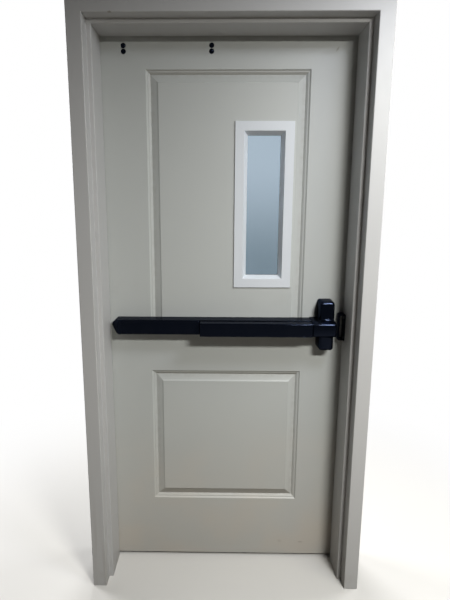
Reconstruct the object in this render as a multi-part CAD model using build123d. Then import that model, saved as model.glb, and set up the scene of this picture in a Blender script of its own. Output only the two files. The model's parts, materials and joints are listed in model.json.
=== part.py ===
from build123d import *
import math
import os

os.makedirs("parts", exist_ok=True)

# Fire door in a double rabbet steel frame. Millimetres, +Z up, the floor at Z 0.
# The door is hinged at the left (-X), is pushed from -Y and opens towards +Y.

# Opening and clearances round the door
opening_width = 914.4        # between the two jamb rabbets
opening_height = 2032.0      # floor to the head rabbet
edge_gap = 3.2               # door to frame, both sides and top
floor_gap = 12.0             # door to floor
stop_gap = 3.2               # stop to the door's push face
running = 0.05               # radial clearance of a pin in its hole
touch_gap = 0.3              # clearance between pieces that only face each other

# Frame, one folded sheet for each member
face_width = 50.8
rabbet_depth = 49.2
soffit_depth = 120.7
stop_height = 15.9
return_lip = 12.7
frame_sheet = 1.5
frame_bend = 1.5             # inside radius of the folds

# Door
door_thickness = 44.45
skin_sheet = 1.2
skin_bend = 1.0
skin_seam = 0.4              # seam between the two skins along the door's edges
core_inset = 2.0             # core to the inside of the edge returns
channel_sheet = 1.5
channel_leg = 30.0

# Pressed panels: inset from the panel's outer edge, and depth below the face
panel_margin = 166.0         # door's edge to the panels
lower_panel_bottom = 265.5
lower_panel_top = 815.5
upper_panel_bottom = 975.0
upper_panel_drop = 116.8     # door's top to the upper panel
panel_profile = [(0.0, 0.0), (5.0, 4.6), (9.0, 5.4), (16.5, 11.0), (38.0, 3.4), (43.5, 0.0)]

# Vision lite
lite_margin = 216.5          # door's lock edge to the lite
lite_bottom = 1145.0
lite_width = 212.0
lite_height = 596.0
lite_proud = 5.5
lite_flange = 33.0
lite_border = 46.0           # flange and bevel together
lite_sheet = 1.5
lite_edge_lean = 1.2         # how far the flange's edge leans in
lite_foot = 12.0
lite_cutout_inset = 22.0     # hole in the door, inside the flange's outer edge
glass_inset = 28.0
glass_thickness = 6.0
tape_thickness = 2.0
lite_screw_inset = 25.0
lite_screw_radius = 2.0
lite_screw_head = 3.8

# Butt hinges
hinge_height = 114.3
bottom_hinge_level = 254.0
top_hinge_drop = 178.8       # door's top to the middle of the top hinge
leaf_thickness = 3.4
leaf_backset = 6.35          # leaf's edge to the door's push face
pin_offset = 19.05           # pin axis beyond the door's pull face
pin_radius = 3.6
knuckle_radius = 7.2
knuckle_count = 5
knuckle_gap = 0.3
pin_head_height = 3.0
hinge_plate_thickness = 6.0
hinge_plate_margin = 28.0
hinge_plate_inset = 3.0
hinge_screw_radius = 2.75
hinge_screw_head = 5.5
hinge_screw_length = 8.0

# Exit device on the push face
device_level = 1003.0        # middle of the rail
rail_height = 54.5
rail_wall = 2.0
rail_depth = 56.0
rail_edge = 0.9              # rounding of the rail's front edges
rail_margin = 62.0           # door's hinge edge to the rail
rail_cover_sheet = 2.0       # plate over the rail's mouth beside the pad
rail_cover_leg = 10.0
cap_margin = 17.0            # door's hinge edge to the end cap
cap_wall = 2.5
cap_point = 24.0             # how far the end cap's corners are cut back
bracket_thickness = 5.0
pad_length = 409.0
pad_to_head = 58.5           # pad's end to the middle of the latch head
pad_projection = 97.0
pad_wall = 2.5
pad_lap = 5.0                # how far the pad's skirt reaches into the rail
pad_edge = 3.0
head_margin = 84.0           # door's lock edge to the middle of the latch head
head_level = 1010.5
head_width = 56.0
head_height = 187.0
head_corner = 11.0
head_projection = 62.0       # of the cover's upper and lower parts
head_draft = 1.5             # how much each side leans in from base to front
head_edge = 4.0
head_wall = 2.5
head_plate = 4.0
band_gap = 1.0               # pad's end to the cover's middle part
band_overhang = 1.0
band_slope = 72.0            # depth at which the middle part starts to slope
band_projection = 92.0
band_front_height = 46.0
band_blend = 6.0             # hollow rounding between the middle part and the others
latch_level = 1000.0
latch_height = 44.0
latch_length = 54.0
latch_front = 40.0           # bolt's front and back, measured from the push face
latch_back = 14.0
latch_gap = 5.3              # bolt's nose to the strike's keeper
latch_guide = 38.0           # length of the ears that guide the bolt
crank_arm = 22.0
crank_axis_depth = 33.0
crank_roller = 4.0
crank_hub = 6.5
crank_tip = 1.8
crank_pin_radius = 4.0
crank_thickness = 6.0
crank_from_pad_end = 66.0
rod_front = 20.5
rod_back = 5.0
rod_thickness = 5.0
drive_pin_radius = 3.0
drive_pin_clearance = 0.4

# Strike on the right jamb
strike_height = 102.0
strike_plate = 3.0
strike_front = 43.0
strike_keeper = 16.0
strike_reach = 22.0
strike_cheek = 24.0          # depth of the strike's two arms
strike_bar = 7.0
strike_edge = 2.0
strike_backing = 4.8

# Closer on the pull face
closer_from_hinge = 245.4    # hinge pin to the middle of the closer
closer_drop = 50.0           # door's top to the middle of the closer
closer_bolt_x = 304.8
closer_bolt_z = 19.05
closer_length = 338.0
closer_height = 70.0
closer_projection = 66.0
closer_wall = 2.5
closer_base = 10.0
closer_base_height = 52.0
closer_barrel_radius = 27.0
closer_barrel_length = 256.0
closer_plate = 3.0
closer_plate_height = 40.0   # below the closer's middle
pinion_depth = 32.0          # pinion axis in front of the door's pull face
pinion_from_hinge = 200.0
pinion_radius = 8.0
pinion_square = 12.0
pinion_boss = 19.0
pinion_housing = 62.0        # height of the boss round the pinion
pinion_floor = 6.0
arm_thickness = 6.0
arm_above_door = 2.2
arm_spacing = 5.0
arm_end_radius = 12.0
shoe_from_hinge = 270.0
shoe_pin_offset = 2.5        # shoe pin axis beyond the hinge pin axis
shoe_width = 76.0
shoe_height = 30.0
shoe_plate = 6.0
shoe_tongue = 26.0
head_plate_length = 220.0    # plate inside the frame's head, behind the shoe
stud_radius = 5.0
bolt_radius = 3.2
barrel_radius = 5.0
barrel_head_radius = 8.7
barrel_head_height = 2.4

# Anchors and silencers
low_anchor_level = 380.0
anchor_above_latch = 130.0
top_anchor_drop = 152.0      # head rabbet to the highest anchor
anchor_sheet = 1.5
anchor_height = 50.0
anchor_wing = 36.0
anchor_inset = 8.0
anchor_hole_radius = 2.5
foot_plate = 3.0
foot_length = 84.0
foot_holes = 50.0
foot_hole_radius = 4.0
low_silencer_level = 300.0
silencer_step = 400.0
top_silencer_drop = 282.0
silencer_radius = 5.0
silencer_stem = 3.0

# Places that follow. Y 0 lies halfway between the frame's front and the closer's cover.
half_width = opening_width / 2
jamb_depth = 2 * rabbet_depth + soffit_depth
overall_depth = rabbet_depth + soffit_depth + stop_gap + door_thickness + closer_projection
front_y = -overall_depth / 2
stop_front_y = front_y + rabbet_depth
stop_back_y = stop_front_y + soffit_depth
back_y = front_y + jamb_depth
push_y = stop_back_y + stop_gap
pull_y = push_y + door_thickness
middle_y = (push_y + pull_y) / 2
door_left = -half_width + edge_gap
door_right = half_width - edge_gap
door_bottom = floor_gap
door_top = opening_height - edge_gap
pin_x = -half_width + edge_gap / 2
pin_y = pull_y + pin_offset

panel_width = door_right - door_left - 2 * panel_margin
upper_panel_top = door_top - upper_panel_drop
lite_centre_x = door_right - lite_margin - lite_width / 2
top_hinge_level = door_top - top_hinge_drop
hinge_levels = [bottom_hinge_level, (bottom_hinge_level + top_hinge_level) / 2, top_hinge_level]

rail_left = door_left + rail_margin
cap_left = door_left + cap_margin
head_centre_x = door_right - head_margin
pad_right = head_centre_x - pad_to_head
pad_left = pad_right - pad_length
crank_places = [pad_left + crank_from_pad_end, pad_right - crank_from_pad_end - crank_arm]
latch_reach = half_width - stop_height - strike_reach - latch_gap

closer_x = pin_x + closer_from_hinge
closer_level = door_top - closer_drop
anchor_levels = [low_anchor_level, latch_level + anchor_above_latch, opening_height - top_anchor_drop]
silencer_levels = [low_silencer_level, low_silencer_level + silencer_step,
                   opening_height - top_silencer_drop]


# Small helpers

def block(x0, x1, y0, y1, z0, z1):
    centre = ((x0 + x1) / 2, (y0 + y1) / 2, (z0 + z1) / 2)
    return Pos(*centre) * Box(abs(x1 - x0), abs(y1 - y0), abs(z1 - z0))


def rod_x(x0, x1, y, z, radius):
    return Pos((x0 + x1) / 2, y, z) * Rot(0, 90, 0) * Cylinder(radius, abs(x1 - x0))


def rod_y(x, y0, y1, z, radius):
    return Pos(x, (y0 + y1) / 2, z) * Rot(90, 0, 0) * Cylinder(radius, abs(y1 - y0))


def rod_z(x, y, z0, z1, radius):
    return Pos(x, y, (z0 + z1) / 2) * Cylinder(radius, abs(z1 - z0))


def prism_z(points, z0, z1):
    return extrude(Pos(0, 0, z0) * Polygon(*points, align=None), amount=z1 - z0, dir=(0, 0, 1))


def prism_y(points, y0, y1):
    # points are (x, z)
    plane = Plane(origin=(0, y0, 0), x_dir=(1, 0, 0), z_dir=(0, -1, 0))
    return extrude(plane * Polygon(*points, align=None), amount=y1 - y0, dir=(0, 1, 0))


def prism_x(points, x0, x1):
    # points are (y, z)
    plane = Plane(origin=(x0, 0, 0), x_dir=(0, 1, 0), z_dir=(1, 0, 0))
    return extrude(plane * Polygon(*points, align=None), amount=x1 - x0, dir=(1, 0, 0))


def rounded_prism_x(points, radii, x0, x1):
    # points are (y, z), with a radius for each corner between the first and the last
    plane = Plane(origin=(x0, 0, 0), x_dir=(0, 1, 0), z_dir=(1, 0, 0))
    edges = list(FilletPolyline(*points, radius=radii).edges())
    edges.append(Edge.make_line((*points[-1], 0), (*points[0], 0)))
    return extrude(plane * make_face(edges), amount=x1 - x0, dir=(1, 0, 0))


def group(shapes):
    return Compound(children=[solid for shape in shapes for solid in shape.solids()])


def offset_line(points, distance):
    # The same line moved to its left by the distance, corners kept sharp
    normals = []
    for (ax, ay), (bx, by) in zip(points, points[1:]):
        length = math.hypot(bx - ax, by - ay)
        normals.append((-(by - ay) / length, (bx - ax) / length))
    moved = [(points[0][0] + normals[0][0] * distance, points[0][1] + normals[0][1] * distance)]
    for (px, py), (mx, my), (nx, ny) in zip(points[1:-1], normals, normals[1:]):
        scale = distance / (1 + mx * nx + my * ny)
        moved.append((px + (mx + nx) * scale, py + (my + ny) * scale))
    moved.append((points[-1][0] + normals[-1][0] * distance, points[-1][1] + normals[-1][1] * distance))
    return moved


def folded_section(points, sheet, bend, side):
    # Section of a folded sheet. The points are the corners of its outer surface, and the
    # sheet lies to their left where side is 1 and to their right where it is -1.
    inner = offset_line(points, side * sheet)
    outer_radii, inner_radii = [], []
    for (ax, ay), (bx, by), (cx, cy) in zip(points, points[1:], points[2:]):
        turn = (bx - ax) * (cy - by) - (by - ay) * (cx - bx)
        inside = turn * side > 0
        outer_radii.append(bend + sheet if inside else bend)
        inner_radii.append(bend if inside else bend + sheet)
    edges = list(FilletPolyline(*points, radius=outer_radii).edges())
    edges += list(FilletPolyline(*inner, radius=inner_radii).edges())
    edges += [Edge.make_line((*points[0], 0), (*inner[0], 0))]
    edges += [Edge.make_line((*points[-1], 0), (*inner[-1], 0))]
    return make_face(edges)


def mitred_ring(section, width, height):
    # A rectangular ring with mitred corners round the Y axis.
    # The section's points are (inset from the outline, y).
    loops = []
    for inset, y in section:
        w, h = width / 2 - inset, height / 2 - inset
        loops.append([(-w, y, -h), (w, y, -h), (w, y, h), (-w, y, h)])
    faces = []
    for near, far in zip(loops, loops[1:] + loops[:1]):
        for i in range(4):
            j = (i + 1) % 4
            faces.append(Face(Wire.make_polygon([near[i], near[j], far[j], far[i]], close=True)))
    ring = Solid(Shell(faces))
    return ring if ring.volume > 0 else Solid(ring.wrapped.Reversed())


def link(a, b, radius_a, radius_b, z0, z1):
    # A flat lever between two round ends
    length = math.hypot(b[0] - a[0], b[1] - a[1])
    heading = math.atan2(b[1] - a[1], b[0] - a[0])
    lean = math.acos((radius_a - radius_b) / length)
    sides = []
    for sign in (1, -1):
        ux, uy = math.cos(heading + sign * lean), math.sin(heading + sign * lean)
        pair = [(a[0] + ux * radius_a, a[1] + uy * radius_a), (b[0] + ux * radius_b, b[1] + uy * radius_b)]
        sides += pair if sign > 0 else pair[::-1]
    web = prism_z(sides, z0, z1)
    return web + rod_z(*a, z0, z1, radius_a) + rod_z(*b, z0, z1, radius_b)


def countersunk(radius, head_radius, head_height, length):
    # A flush screw along +Z, its head's face at Z 0 and its tip below
    head = Cone(radius, head_radius, head_height, align=(Align.CENTER, Align.CENTER, Align.MAX))
    shank = Cylinder(radius, length, align=(Align.CENTER, Align.CENTER, Align.MAX))
    return head + shank


# Frame

def frame_section():
    # Section of every frame member: (distance out from the opening's edge, y)
    line = [
        (face_width, front_y + return_lip), (face_width, front_y), (0, front_y),
        (0, stop_front_y), (-stop_height, stop_front_y), (-stop_height, stop_back_y),
        (0, stop_back_y), (0, back_y), (face_width, back_y), (face_width, back_y - return_lip),
    ]
    return folded_section(line, frame_sheet, frame_bend, -1)


def corner_wedge(side, above):
    # One side of the mitre plane through an upper corner of the opening
    reach = 3 * face_width
    x, z = half_width, opening_height
    third = (x - reach, z + reach) if above else (x + reach, z - reach)
    points = [(side * px, pz) for px, pz in ((x - reach, z - reach), (x + reach, z + reach), third)]
    return prism_y(points, front_y - 1, back_y + 1)


def jamb(side):
    blank = extrude(Pos(half_width, 0, 0) * frame_section(), amount=opening_height + face_width + 1)
    if side < 0:
        blank = mirror(blank, about=Plane.YZ)
    return blank - corner_wedge(side, True)


def head():
    reach = half_width + face_width + 1
    plane = Plane(origin=(reach, 0, opening_height), x_dir=(0, 0, 1), z_dir=(-1, 0, 0))
    blank = extrude(plane * frame_section(), amount=2 * reach)
    return blank - corner_wedge(1, False) - corner_wedge(-1, False)


def leaf_room(x, depth, z):
    # The room that a hinge leaf takes in an edge at x, the leaf lying towards +x by its depth
    half = hinge_height / 2
    return block(x, x + depth, push_y + leaf_backset, pin_y, z - half, z + half)


def screw_places(z):
    # The four screws of a leaf: (y, z)
    rows = (-0.36, -0.12, 0.12, 0.36)
    near, far = push_y + leaf_backset + 9.0, push_y + leaf_backset + 26.0
    return [((near, far)[i % 2], z + row * hinge_height) for i, row in enumerate(rows)]


def leaf_screw(x, toward, y, z, extra=0.0):
    # A leaf's screw with its head flush at x, pointing into the edge
    screw = countersunk(hinge_screw_radius + extra, hinge_screw_head + extra, leaf_thickness - 0.4,
                        hinge_screw_length + extra)
    return Pos(x, y, z) * Rot(0, -90 * toward, 0) * screw


def frame_parts():
    hinge_jamb = jamb(-1)
    strike_jamb = jamb(1)
    plates = []
    for z in hinge_levels:
        hinge_jamb -= leaf_room(-half_width, -leaf_thickness, z)
        half = hinge_height / 2 + hinge_plate_margin
        back = -half_width - frame_sheet
        plate = block(back - hinge_plate_thickness, back, stop_back_y + 6, back_y - 6, z - half, z + half)
        plate -= leaf_room(-half_width, -leaf_thickness, z)
        for y, screw_z in screw_places(z):
            plate -= leaf_screw(-half_width, -1, y, screw_z, running)
        plates.append(plate)
    silencers = []
    silencer_x = half_width - stop_height / 2
    for z in silencer_levels:
        strike_jamb -= rod_y(silencer_x, stop_back_y - 5, stop_back_y + 1, z, silencer_stem)
        body = rod_y(silencer_x, stop_back_y, push_y - touch_gap, z, silencer_radius)
        stem = rod_y(silencer_x, stop_back_y - 3 * frame_sheet, stop_back_y, z, silencer_stem)
        silencers.append(body + stem)
    inner_y = back_y - frame_sheet
    shoe_x = pin_x + shoe_from_hinge
    reach = head_plate_length / 2
    closer_plate = block(shoe_x - reach, shoe_x + reach, inner_y - strike_backing, inner_y,
                         opening_height + strike_backing, opening_height + face_width - strike_backing)
    for x, z in shoe_screw_places():
        closer_plate -= rod_y(x, inner_y - strike_backing - 1, inner_y + 1, z, bolt_radius)
    return {
        "frame_head": head() - shoe_screw_holes(),
        "frame_hinge_jamb": hinge_jamb,
        "frame_strike_jamb": strike_jamb - strike_screw_holes(),
        "jamb_hinge_plates": group(plates),
        "head_closer_plate": closer_plate,
        "jamb_strike_plate": strike_backing_plate(),
        "door_silencers": group(silencers),
        "wall_anchors": wall_anchors(),
        "floor_anchors": floor_anchors(),
    }


def wall_anchors():
    # Straps welded inside the stop, with two wings that are fixed to the wall's studs
    inside = half_width - stop_height + frame_sheet
    y0, y1 = stop_front_y + anchor_inset, stop_back_y - anchor_inset
    straps = []
    for z in anchor_levels:
        low, high = z - anchor_height / 2, z + anchor_height / 2
        strap = block(inside, inside + anchor_sheet, y0, y1, low, high)
        strap += block(inside, half_width + anchor_wing, y0, y0 + anchor_sheet, low, high)
        strap += block(inside, half_width + anchor_wing, y1 - anchor_sheet, y1, low, high)
        strap -= rod_y(half_width + anchor_wing / 2, y0 - 1, y1 + 1, z, anchor_hole_radius)
        straps += [strap, mirror(strap, about=Plane.YZ)]
    return group(straps)


def floor_anchors():
    # Angle clips welded inside the foot of each jamb, with two holes for floor bolts
    inside = half_width - stop_height + frame_sheet
    middle = (stop_front_y + stop_back_y) / 2
    half = foot_length / 2
    clip = block(inside, half_width + anchor_wing, middle - half, middle + half, 0, foot_plate)
    clip += block(inside, inside + foot_plate, middle - half, middle + half, 0, anchor_height)
    for side in (-1, 1):
        clip -= rod_z(half_width + anchor_wing / 2, middle + side * foot_holes / 2, -1, foot_plate + 1,
                      foot_hole_radius)
    return group([clip, mirror(clip, about=Plane.YZ)])


# Strike

def strike_screw_places():
    y = push_y - (strike_front + stop_gap + strike_keeper) / 2
    return [(y, latch_level + side * 0.38 * strike_height) for side in (-1, 1)]


def strike_screw_holes():
    x = half_width - stop_height
    return [rod_x(x - 1, x + 12, y, z, hinge_screw_radius + running) for y, z in strike_screw_places()]


def strike_backing_plate():
    x = half_width - stop_height + frame_sheet
    half = strike_height / 2 + 10
    plate = block(x, x + strike_backing, push_y - strike_front - anchor_inset, stop_back_y - strike_backing,
                  latch_level - half, latch_level + half)
    return plate - strike_screw_holes()


def strike_parts():
    x = half_width - stop_height
    half = strike_height / 2
    back = stop_back_y - 1.0
    y0 = push_y - strike_front
    plate = block(x - strike_plate, x, y0, back, latch_level - half, latch_level + half)
    plate = fillet(plate.edges().filter_by(Axis.X).group_by(Axis.Y)[0], 6)
    outer = x - strike_reach
    low, high = latch_level - half, latch_level + half
    keeper = block(outer, x - strike_plate, back - strike_cheek, back, low, high)
    keeper = fillet(keeper.edges().filter_by(Axis.Y).group_by(Axis.X)[0], 2 * strike_edge)
    keeper -= block(outer - 1, x, back - strike_cheek - 1, back + 1, low + strike_bar, high - strike_bar)
    keeper += block(outer, outer + strike_bar, back - strike_keeper, back,
                    low + strike_bar - 1, high - strike_bar + 1)
    strike = plate + keeper
    screws = []
    for y, z in strike_screw_places():
        screw = countersunk(hinge_screw_radius, hinge_screw_head, 2.6, 9)
        room = countersunk(hinge_screw_radius + running, hinge_screw_head + running, 2.6, 12)
        place = Pos(x - strike_plate, y, z) * Rot(0, -90, 0)
        strike -= place * room
        screws.append(place * screw)
    return {"strike": strike, "strike_screws": group(screws)}


# Door

def closer_bolt_places():
    return [(closer_x + i * closer_bolt_x / 2, closer_level + k * closer_bolt_z / 2)
            for i in (-1, 1) for k in (-1, 1)]


def device_bolt_places():
    head_bolts = [(head_centre_x, head_level + side * 0.36 * head_height) for side in (-1, 1)]
    end_bolts = [(rail_left - 11.0, device_level + side * 14.0) for side in (-1, 1)]
    return head_bolts + end_bolts


def lite_place():
    return Pos(lite_centre_x, 0, lite_bottom + lite_height / 2)


def panel_rings(section):
    rings = []
    for low, high in ((lower_panel_bottom, lower_panel_top), (upper_panel_bottom, upper_panel_top)):
        ring = mitred_ring(section, panel_width, high - low)
        rings.append(Pos(0, push_y, (low + high) / 2) * ring)
    return rings


def lite_hole(y0, y1):
    w = lite_width / 2 - lite_cutout_inset
    h = lite_height / 2 - lite_cutout_inset
    return lite_place() * block(-w, w, y0, y1, -h, h)


def push_skin():
    line = [(door_left, middle_y - skin_seam / 2), (door_left, push_y),
            (door_right, push_y), (door_right, middle_y - skin_seam / 2)]
    section = folded_section(line, skin_sheet, skin_bend, 1)
    skin = extrude(Pos(0, 0, door_bottom) * section, amount=door_top - door_bottom)
    metal = [panel_profile[0]] + [(inset, depth + skin_sheet) for inset, depth in panel_profile]
    metal.append(panel_profile[-1])
    air = [(panel_profile[0][0], -1.0)] + panel_profile + [(panel_profile[-1][0], -1.0)]
    for ring in panel_rings(metal):
        skin += ring
    skin -= panel_rings(air)
    skin -= lite_hole(push_y - 1, push_y + skin_sheet + 1)
    for x, z in closer_bolt_places() + device_bolt_places():
        skin -= rod_y(x, push_y - 1, push_y + skin_sheet + 1, z, barrel_radius + running)
    return skin


def door_core():
    inner = skin_sheet + core_inset
    core = block(door_left + inner, door_right - inner, push_y + skin_sheet, pull_y - skin_sheet,
                 door_bottom + channel_sheet, door_top - channel_sheet)
    recess = [(panel_profile[0][0], -1.0)]
    recess += [(inset, depth + skin_sheet) for inset, depth in panel_profile]
    recess.append((panel_profile[-1][0], -1.0))
    rings = panel_rings(recess)
    core -= rings
    core -= [mirror(ring, about=Plane.XZ.offset(-middle_y)) for ring in rings]
    core -= lite_hole(push_y - 1, pull_y + 1)
    for x, z in closer_bolt_places() + device_bolt_places():
        core -= rod_y(x, push_y, pull_y, z, barrel_radius + running)
    return core


def edge_channel(top):
    # A channel across the door, its web at the door's end and its legs inside the skins
    x0, x1 = door_left + skin_sheet + core_inset, door_right - skin_sheet - core_inset
    y0, y1 = push_y + skin_sheet, pull_y - skin_sheet
    end = door_top if top else door_bottom
    step = -1 if top else 1
    line = [(y0, end + step * channel_leg), (y0, end), (y1, end), (y1, end + step * channel_leg)]
    section = folded_section(line, channel_sheet, channel_sheet, 1 if not top else -1)
    plane = Plane(origin=(x0, 0, 0), x_dir=(0, 1, 0), z_dir=(1, 0, 0))
    return extrude(plane * section, amount=x1 - x0)


def channel_room():
    # What the legs of both channels take from the core
    y0, y1 = push_y + skin_sheet, pull_y - skin_sheet
    room = []
    for end, leg in ((door_bottom, channel_leg), (door_top, -channel_leg)):
        for y, step in ((y0, channel_sheet), (y1, -channel_sheet)):
            room.append(block(door_left, door_right, y, y + step, end, end + leg))
    return room


def door_hinge_plates():
    plates = []
    x0 = door_left + skin_sheet
    for z in hinge_levels:
        half = hinge_height / 2 + hinge_plate_margin
        plate = block(x0, x0 + hinge_plate_thickness, push_y + skin_sheet + hinge_plate_inset,
                      pull_y - skin_sheet - hinge_plate_inset / 2, z - half, z + half)
        plate -= leaf_room(door_left, leaf_thickness, z)
        for y, screw_z in screw_places(z):
            plate -= leaf_screw(door_left, 1, y, screw_z, running)
        plates.append(plate)
    return plates


def door_closer_plate():
    # Reinforcement folded inside the top of the door, under the pull skin
    half = closer_bolt_x / 2 + 25
    top = door_top - channel_leg - core_inset
    y1 = pull_y - skin_sheet
    plate = block(closer_x - half, closer_x + half, y1 - closer_plate, y1,
                  closer_level - closer_plate_height, top)
    for x, z in closer_bolt_places():
        plate -= rod_y(x, y1 - closer_plate - 1, y1 + 1, z, barrel_radius + running)
    return plate


def door_parts():
    skin = push_skin()
    other = mirror(skin, about=Plane.XZ.offset(-middle_y))
    top, bottom = edge_channel(True), edge_channel(False)
    plates = door_hinge_plates()
    closer_plate = door_closer_plate()
    core = door_core() - channel_room() - [top, bottom, closer_plate]
    clearance = leaf_thickness + hinge_screw_length
    for z in hinge_levels:
        half = hinge_height / 2 + hinge_plate_margin
        core -= block(door_left, door_left + clearance, push_y, pull_y, z - half, z + half)
        skin -= leaf_room(door_left, leaf_thickness, z)
        other -= leaf_room(door_left, leaf_thickness, z)
    return {
        "door_push_skin": skin,
        "door_pull_skin": other,
        "door_core": core,
        "door_top_channel": top,
        "door_bottom_channel": bottom,
        "door_hinge_plates": group(plates),
        "door_closer_plate": closer_plate,
    }


# Vision lite

def lite_section():
    # Section of a lite frame: (inset, depth below the door's face)
    foot_depth = (door_thickness - glass_thickness) / 2 - tape_thickness
    rise = foot_depth + lite_proud
    slope = (lite_border - lite_flange) / rise
    wall = lite_sheet * math.hypot(1, slope)
    foot_inner = foot_depth - lite_sheet
    return [
        (0, 0), (lite_edge_lean, -lite_proud), (lite_flange, -lite_proud), (lite_border, foot_depth),
        (lite_border - lite_foot, foot_depth), (lite_border - lite_foot, foot_inner),
        (lite_border - lite_sheet * slope - wall, foot_inner),
        (lite_flange + lite_sheet * slope - wall, lite_sheet - lite_proud),
        (lite_edge_lean + lite_sheet, lite_sheet - lite_proud), (lite_sheet, 0),
    ]


def lite_screw_places():
    w = lite_width / 2 - lite_screw_inset
    h = lite_height / 2 - 2 * lite_screw_inset
    return [(side * w, level * h) for side in (-1, 1) for level in (-1, -0.33, 0.33, 1)]


def lite_parts():
    frame = Pos(0, push_y, 0) * lite_place() * mitred_ring(lite_section(), lite_width, lite_height)
    outer = mirror(frame, about=Plane.XZ.offset(-middle_y))
    glass_y = middle_y - glass_thickness / 2
    edge = lite_border - lite_foot
    tape_section = [(edge, -tape_thickness), (lite_border, -tape_thickness), (lite_border, 0), (edge, 0)]
    tape = Pos(0, glass_y, 0) * lite_place() * mitred_ring(tape_section, lite_width, lite_height)
    w, h = lite_width / 2 - glass_inset, lite_height / 2 - glass_inset
    glass = lite_place() * block(-w, w, glass_y, glass_y + glass_thickness, -h, h)
    screws = []
    face = pull_y + lite_proud
    length = door_thickness + 2 * lite_proud - lite_sheet - touch_gap
    for x, z in lite_screw_places():
        place = lite_place() * Pos(x, face, z) * Rot(-90, 0, 0)
        outer -= place * countersunk(lite_screw_radius + running, lite_screw_head + running,
                                     lite_sheet, length)
        screws.append(place * countersunk(lite_screw_radius, lite_screw_head, lite_sheet, length))
    return {
        "lite_push_frame": frame,
        "lite_pull_frame": outer,
        "lite_glass": glass,
        "lite_push_tape": tape,
        "lite_pull_tape": mirror(tape, about=Plane.XZ.offset(-middle_y)),
        "lite_screws": group(screws),
    }


# Hinges

def hinge_leaf(side):
    # side -1 is the frame's leaf, which holds the outer knuckles, and 1 is the door's
    face_x = door_left if side > 0 else -half_width
    half = hinge_height / 2
    pitch = hinge_height / knuckle_count
    free_end = pin_y - knuckle_radius - 2 * touch_gap
    leaf = block(face_x, face_x + side * leaf_thickness, push_y + leaf_backset, free_end, -half, half)
    for i in range(knuckle_count):
        low = -half + i * pitch + (knuckle_gap / 2 if i else 0)
        high = -half + (i + 1) * pitch - (knuckle_gap / 2 if i < knuckle_count - 1 else 0)
        if (i % 2 == 0) == (side < 0):
            leaf += block(face_x, face_x + side * leaf_thickness, free_end - 1, pin_y, low, high)
            leaf += rod_z(pin_x, pin_y, low, high, knuckle_radius)
    leaf -= rod_z(pin_x, pin_y, -half - 1, half + 1, pin_radius + running)
    for y, z in screw_places(0):
        leaf -= leaf_screw(face_x, side, y, z, running)
    return leaf


def hinge_pin():
    half = hinge_height / 2
    pin = rod_z(pin_x, pin_y, -half, half, pin_radius)
    for side in (-1, 1):
        tip = rod_z(pin_x, pin_y, side * half, side * (half + pin_head_height), knuckle_radius)
        pin += fillet(tip.edges().group_by(Axis.Z)[-1 if side > 0 else 0], 1.5)
    return pin


def hinge_parts():
    nodes = {}
    frame_leaf, door_leaf, pin = hinge_leaf(-1), hinge_leaf(1), hinge_pin()
    frame_screws, door_screws = [], []
    for number, z in enumerate(hinge_levels, 1):
        nodes[f"hinge_frame_leaf_{number}"] = Pos(0, 0, z) * frame_leaf
        nodes[f"hinge_door_leaf_{number}"] = Pos(0, 0, z) * door_leaf
        nodes[f"hinge_pin_{number}"] = Pos(0, 0, z) * pin
        for y, screw_z in screw_places(z):
            frame_screws.append(leaf_screw(-half_width, -1, y, screw_z))
            door_screws.append(leaf_screw(door_left, 1, y, screw_z))
    nodes["hinge_frame_screws"] = group(frame_screws)
    nodes["hinge_door_screws"] = group(door_screws)
    return nodes


# Exit device

def device_rail():
    # Channel with its mouth to the front
    half = rail_height / 2
    end = head_centre_x - head_width / 2 + 8
    rail = block(rail_left, end, push_y - rail_depth, push_y, device_level - half, device_level + half)
    rail = fillet(rail.edges().filter_by(Axis.X).group_by(Axis.Y)[0], rail_edge)
    inner = half - rail_wall
    rail -= block(rail_left - 1, end + 1, push_y - rail_depth - 1, push_y - rail_wall,
                  device_level - inner, device_level + inner)
    return rail - [rod_y(x, push_y - 4, push_y + 1, z, bolt_radius + running)
                   for x, z in device_bolt_places() if rail_left < x < end]


def rail_cover():
    # Plate over the rail's mouth, with two legs that grip inside the rail
    half = rail_height / 2
    front = push_y - rail_depth
    cover = block(rail_left, pad_left - 2, front - rail_cover_sheet, front,
                  device_level - half, device_level + half)
    cover = fillet(cover.edges().filter_by(Axis.X).group_by(Axis.Y)[0], rail_cover_sheet - 0.5)
    leg = half - rail_wall - touch_gap
    for side in (-1, 1):
        z0, z1 = device_level + side * (leg - rail_cover_sheet), device_level + side * leg
        cover += block(rail_left + 3, pad_left - 5, front - 0.5, front + rail_cover_leg,
                       min(z0, z1), max(z0, z1))
    return cover


def cap_form(inset):
    # The cap's outer form, or its hollow where there is an inset
    half = rail_height / 2
    front = push_y - rail_depth - rail_cover_sheet
    open_x, open_y = rail_left + inset, push_y + inset
    plan = offset_line([(cap_left, open_y), (cap_left + 2, push_y - 6), (rail_left - 13, front + 4),
                        (rail_left - 9, front), (open_x, front)], inset)
    side = offset_line([(open_x, -half), (cap_left + cap_point, -half), (cap_left, cap_point - half),
                        (cap_left, half - cap_point), (cap_left + cap_point, half), (open_x, half)], -inset)
    seen_from_front = prism_y([(x, device_level + z) for x, z in side], front - 1, push_y + 1 + inset)
    seen_from_above = prism_z(plan + [(open_x, open_y)], device_level - half, device_level + half)
    return seen_from_above & seen_from_front


def end_cap():
    # Hollow cap over the hinge end of the rail, with sloping faces
    return cap_form(0) - cap_form(cap_wall)


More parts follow.
